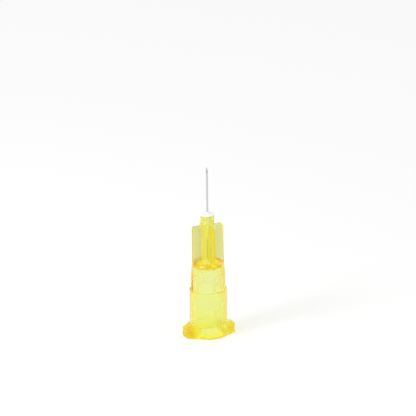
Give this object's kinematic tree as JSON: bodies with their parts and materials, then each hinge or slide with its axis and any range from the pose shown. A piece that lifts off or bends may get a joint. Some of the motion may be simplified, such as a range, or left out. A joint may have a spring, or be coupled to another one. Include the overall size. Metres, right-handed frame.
{
  "type": "mesotherapy needle",
  "caption": "Short fine hypodermic needle: clear yellow finned hub with a conical syringe socket and locking lugs, steel cannula and white adhesive bead.",
  "frame": {"origin": "centre of the hub's open end, in the plane of its end face", "axes": "+Z along the cannula towards its point, X across the two locking lugs, +Y the side on which the point is longest"},
  "size_m": [0.0078, 0.0056, 0.0261],
  "materials": {
    "hub_plastic": "clear yellow moulded polypropylene",
    "cannula_steel": "finely drawn and polished stainless steel",
    "bead_adhesive": "white cured adhesive"
  },
  "bodies": {
    "root": {"hub": "hub_plastic", "cannula": "cannula_steel", "adhesive_bead": "bead_adhesive"}
  },
  "joints": []
}
